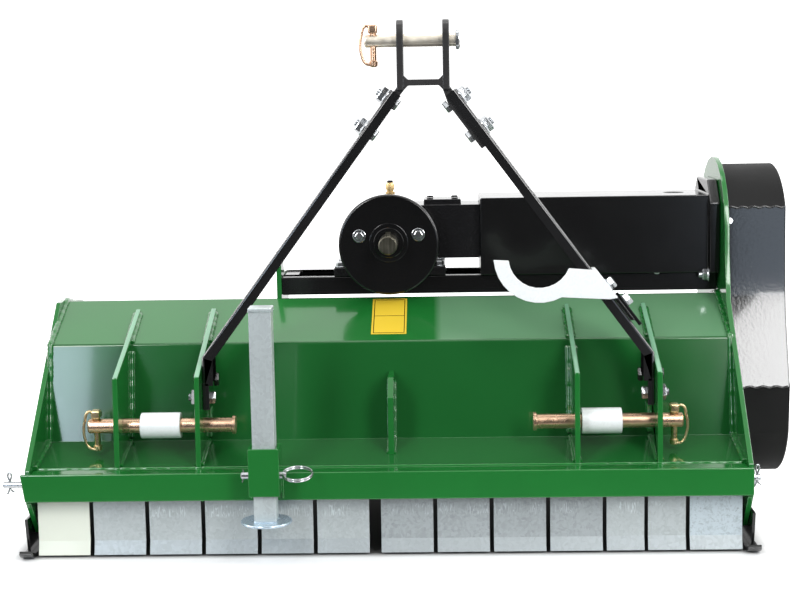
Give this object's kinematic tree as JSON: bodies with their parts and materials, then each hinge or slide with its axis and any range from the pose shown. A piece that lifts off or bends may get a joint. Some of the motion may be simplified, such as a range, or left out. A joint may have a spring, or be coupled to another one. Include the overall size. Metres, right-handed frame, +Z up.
{
  "type": "tractor mulcher",
  "caption": "Flail mulcher for a small tractor: hood with front flaps, three-point hitch, gearbox, side belt drive, flail rotor, skids and rear roller",
  "frame": {"origin": "on the ground, under the middle of the whole object's box", "axes": "+X across the machine towards the belt drive, +Y from the tractor to the roller, +Z up"},
  "size_m": [1.182, 0.6998, 0.782],
  "materials": {
    "green_paint": "gloss enamel",
    "black_paint": "gloss enamel",
    "galvanised": "satin galvanised",
    "bright_zinc": "bright zinc plate",
    "yellow_zinc": "yellow passivated zinc",
    "bare_steel": "machined steel",
    "cast_iron": "turned",
    "belt_rubber": "matte"
  },
  "bodies": {
    "machine_frame": {"deck_shell": "green_paint", "side_plate_left": "green_paint", "side_plate_right": "green_paint", "hitch_lug_left_outer": "green_paint", "hitch_lug_left_inner": "green_paint", "hitch_lug_right_inner": "green_paint", "hitch_lug_right_outer": "green_paint", "flap_rod": "galvanised", "hitch_pin_left": "yellow_zinc", "hitch_pin_right": "yellow_zinc", "linch_pin_left": "yellow_zinc", "linch_pin_right": "yellow_zinc", "linch_pin_top": "yellow_zinc", "top_pin": "yellow_zinc", "brace_left": "black_paint", "brace_right": "black_paint", "mast_head": "black_paint", "pto_hook": "bright_zinc", "drive_subframe": "black_paint", "gearbox_case": "black_paint", "gearbox_cover": "black_paint", "drive_housing": "black_paint", "belt_cover": "black_paint", "drive_belt": "belt_rubber", "rotor_bearing_left": "black_paint", "rotor_bearing_right": "black_paint", "roller_bracket_left": "black_paint", "roller_bracket_right": "black_paint", "skid_left": "black_paint", "skid_right": "black_paint"},
    "rotor_body": {"rotor": "black_paint", "lower_pulley": "cast_iron"},
    "cross_shaft_body": {"cross_shaft": "cast_iron"},
    "pto_shaft_body": {"pto_shaft": "bare_steel"},
    "roller_body": {"roller": "black_paint"},
    "stand_leg_body": {"stand_leg": "galvanised"},
    "stand_pin_body": {"stand_pin": "bright_zinc"},
    "bush_left_body": {"spacer_bush_left": "galvanised"},
    "bush_right_body": {"spacer_bush_right": "galvanised"},
    "flap_01_body": {"front_flap_01": "galvanised"},
    "flap_02_body": {"front_flap_02": "galvanised"},
    "flap_03_body": {"front_flap_03": "galvanised"},
    "flap_04_body": {"front_flap_04": "galvanised"},
    "flap_05_body": {"front_flap_05": "galvanised"},
    "flap_06_body": {"front_flap_06": "galvanised"},
    "flap_07_body": {"front_flap_07": "galvanised"},
    "flap_08_body": {"front_flap_08": "galvanised"},
    "flap_09_body": {"front_flap_09": "galvanised"},
    "flap_10_body": {"front_flap_10": "galvanised"},
    "flap_11_body": {"front_flap_11": "galvanised"},
    "flap_12_body": {"front_flap_12": "galvanised"},
    "flap_13_body": {"front_flap_13": "galvanised"},
    "flail_1_body": {"flail_pair_1": "bare_steel"},
    "flail_2_body": {"flail_pair_2": "bare_steel"},
    "flail_3_body": {"flail_pair_3": "bare_steel"},
    "flail_4_body": {"flail_pair_4": "bare_steel"},
    "flail_5_body": {"flail_pair_5": "bare_steel"},
    "flail_6_body": {"flail_pair_6": "bare_steel"},
    "flail_7_body": {"flail_pair_7": "bare_steel"},
    "flail_8_body": {"flail_pair_8": "bare_steel"}
  },
  "joints": [
    {"name": "rotor_spin", "type": "hinge", "parent": "machine_frame", "child": "rotor_body", "pos_m": [-0.031, 0.0174, 0.17], "axis": [1, 0, 0], "continuous": true},
    {"name": "cross_shaft_spin", "type": "hinge", "parent": "machine_frame", "child": "cross_shaft_body", "pos_m": [0.526, 0.05489, 0.44004], "axis": [1, 0, 0], "continuous": true},
    {"name": "pto_shaft_spin", "type": "hinge", "parent": "machine_frame", "child": "pto_shaft_body", "pos_m": [-0.031, 0.05489, 0.44004], "axis": [0, 1, 0], "continuous": true},
    {"name": "roller_spin", "type": "hinge", "parent": "machine_frame", "child": "roller_body", "pos_m": [-0.031, 0.2999, 0.05], "axis": [1, 0, 0], "continuous": true},
    {"name": "flap_01_swing", "type": "hinge", "parent": "machine_frame", "child": "flap_01_body", "pos_m": [-0.51273, -0.27309, 0.112], "axis": [1, 0, 0], "range_deg": [-15, 80]},
    {"name": "flap_02_swing", "type": "hinge", "parent": "machine_frame", "child": "flap_02_body", "pos_m": [-0.42969, -0.27309, 0.112], "axis": [1, 0, 0], "range_deg": [-15, 80]},
    {"name": "flap_03_swing", "type": "hinge", "parent": "machine_frame", "child": "flap_03_body", "pos_m": [-0.34664, -0.27309, 0.112], "axis": [1, 0, 0], "range_deg": [-15, 80]},
    {"name": "flap_04_swing", "type": "hinge", "parent": "machine_frame", "child": "flap_04_body", "pos_m": [-0.2636, -0.27309, 0.112], "axis": [1, 0, 0], "range_deg": [0, 80]},
    {"name": "flap_05_swing", "type": "hinge", "parent": "machine_frame", "child": "flap_05_body", "pos_m": [-0.18056, -0.27309, 0.112], "axis": [1, 0, 0], "range_deg": [0, 80]},
    {"name": "flap_06_swing", "type": "hinge", "parent": "machine_frame", "child": "flap_06_body", "pos_m": [-0.09752, -0.27309, 0.112], "axis": [1, 0, 0], "range_deg": [-15, 80]},
    {"name": "flap_07_swing", "type": "hinge", "parent": "machine_frame", "child": "flap_07_body", "pos_m": [-0.00298, -0.27309, 0.112], "axis": [1, 0, 0], "range_deg": [-15, 80]},
    {"name": "flap_08_swing", "type": "hinge", "parent": "machine_frame", "child": "flap_08_body", "pos_m": [0.08006, -0.27309, 0.112], "axis": [1, 0, 0], "range_deg": [-15, 80]},
    {"name": "flap_09_swing", "type": "hinge", "parent": "machine_frame", "child": "flap_09_body", "pos_m": [0.1631, -0.27309, 0.112], "axis": [1, 0, 0], "range_deg": [-15, 80]},
    {"name": "flap_10_swing", "type": "hinge", "parent": "machine_frame", "child": "flap_10_body", "pos_m": [0.24615, -0.27309, 0.112], "axis": [1, 0, 0], "range_deg": [-15, 80]},
    {"name": "flap_11_swing", "type": "hinge", "parent": "machine_frame", "child": "flap_11_body", "pos_m": [0.31805, -0.27309, 0.112], "axis": [1, 0, 0], "range_deg": [-15, 80]},
    {"name": "flap_12_swing", "type": "hinge", "parent": "machine_frame", "child": "flap_12_body", "pos_m": [0.37882, -0.27309, 0.112], "axis": [1, 0, 0], "range_deg": [-15, 80]},
    {"name": "flap_13_swing", "type": "hinge", "parent": "machine_frame", "child": "flap_13_body", "pos_m": [0.45073, -0.27309, 0.112], "axis": [1, 0, 0], "range_deg": [-15, 80]},
    {"name": "flail_1_swing", "type": "hinge", "parent": "rotor_body", "child": "flail_1_body", "pos_m": [-0.491, -0.01131, 0.23929], "axis": [1, 0, 0], "range_deg": [-236, 0]},
    {"name": "flail_2_swing", "type": "hinge", "parent": "rotor_body", "child": "flail_2_body", "pos_m": [-0.35957, -0.01131, 0.10071], "axis": [1, 0, 0], "range_deg": [-140.5, 95.5]},
    {"name": "flail_3_swing", "type": "hinge", "parent": "rotor_body", "child": "flail_3_body", "pos_m": [-0.22814, 0.08669, 0.1987], "axis": [1, 0, 0], "range_deg": [-5.5, 230.5]},
    {"name": "flail_4_swing", "type": "hinge", "parent": "rotor_body", "child": "flail_4_body", "pos_m": [-0.09671, -0.0519, 0.1987], "axis": [1, 0, 0], "range_deg": [-230.5, 5.5]},
    {"name": "flail_5_swing", "type": "hinge", "parent": "rotor_body", "child": "flail_5_body", "pos_m": [0.03471, 0.0461, 0.10071], "axis": [1, 0, 0], "range_deg": [-95.5, 140.5]},
    {"name": "flail_6_swing", "type": "hinge", "parent": "rotor_body", "child": "flail_6_body", "pos_m": [0.16614, 0.0461, 0.23929], "axis": [1, 0, 0], "range_deg": [0, 236]},
    {"name": "flail_7_swing", "type": "hinge", "parent": "rotor_body", "child": "flail_7_body", "pos_m": [0.29757, -0.0519, 0.1413], "axis": [1, 0, 0], "range_deg": [-185.5, 50.5]},
    {"name": "flail_8_swing", "type": "hinge", "parent": "rotor_body", "child": "flail_8_body", "pos_m": [0.429, 0.08669, 0.1413], "axis": [1, 0, 0], "range_deg": [-50.5, 185.5]},
    {"name": "stand_leg_slide", "type": "slide", "parent": "machine_frame", "child": "stand_leg_body", "axis": [0, 0, 1], "range_m": [-0.16, 0.021]},
    {"name": "stand_pin_pull", "type": "slide", "parent": "machine_frame", "child": "stand_pin_body", "axis": [1, 0, 0], "range_m": [0, 0.075]},
    {"name": "bush_left_slide", "type": "slide", "parent": "machine_frame", "child": "bush_left_body", "axis": [1, 0, 0], "range_m": [-0.026, 0.026]},
    {"name": "bush_right_slide", "type": "slide", "parent": "machine_frame", "child": "bush_right_body", "axis": [1, 0, 0], "range_m": [-0.004, 0.048]}
  ],
  "couplings": [
    {"joint": "cross_shaft_spin", "follows": "rotor_spin", "ratio": 0.86957},
    {"joint": "pto_shaft_spin", "follows": "rotor_spin", "ratio": 0.28677}
  ]
}
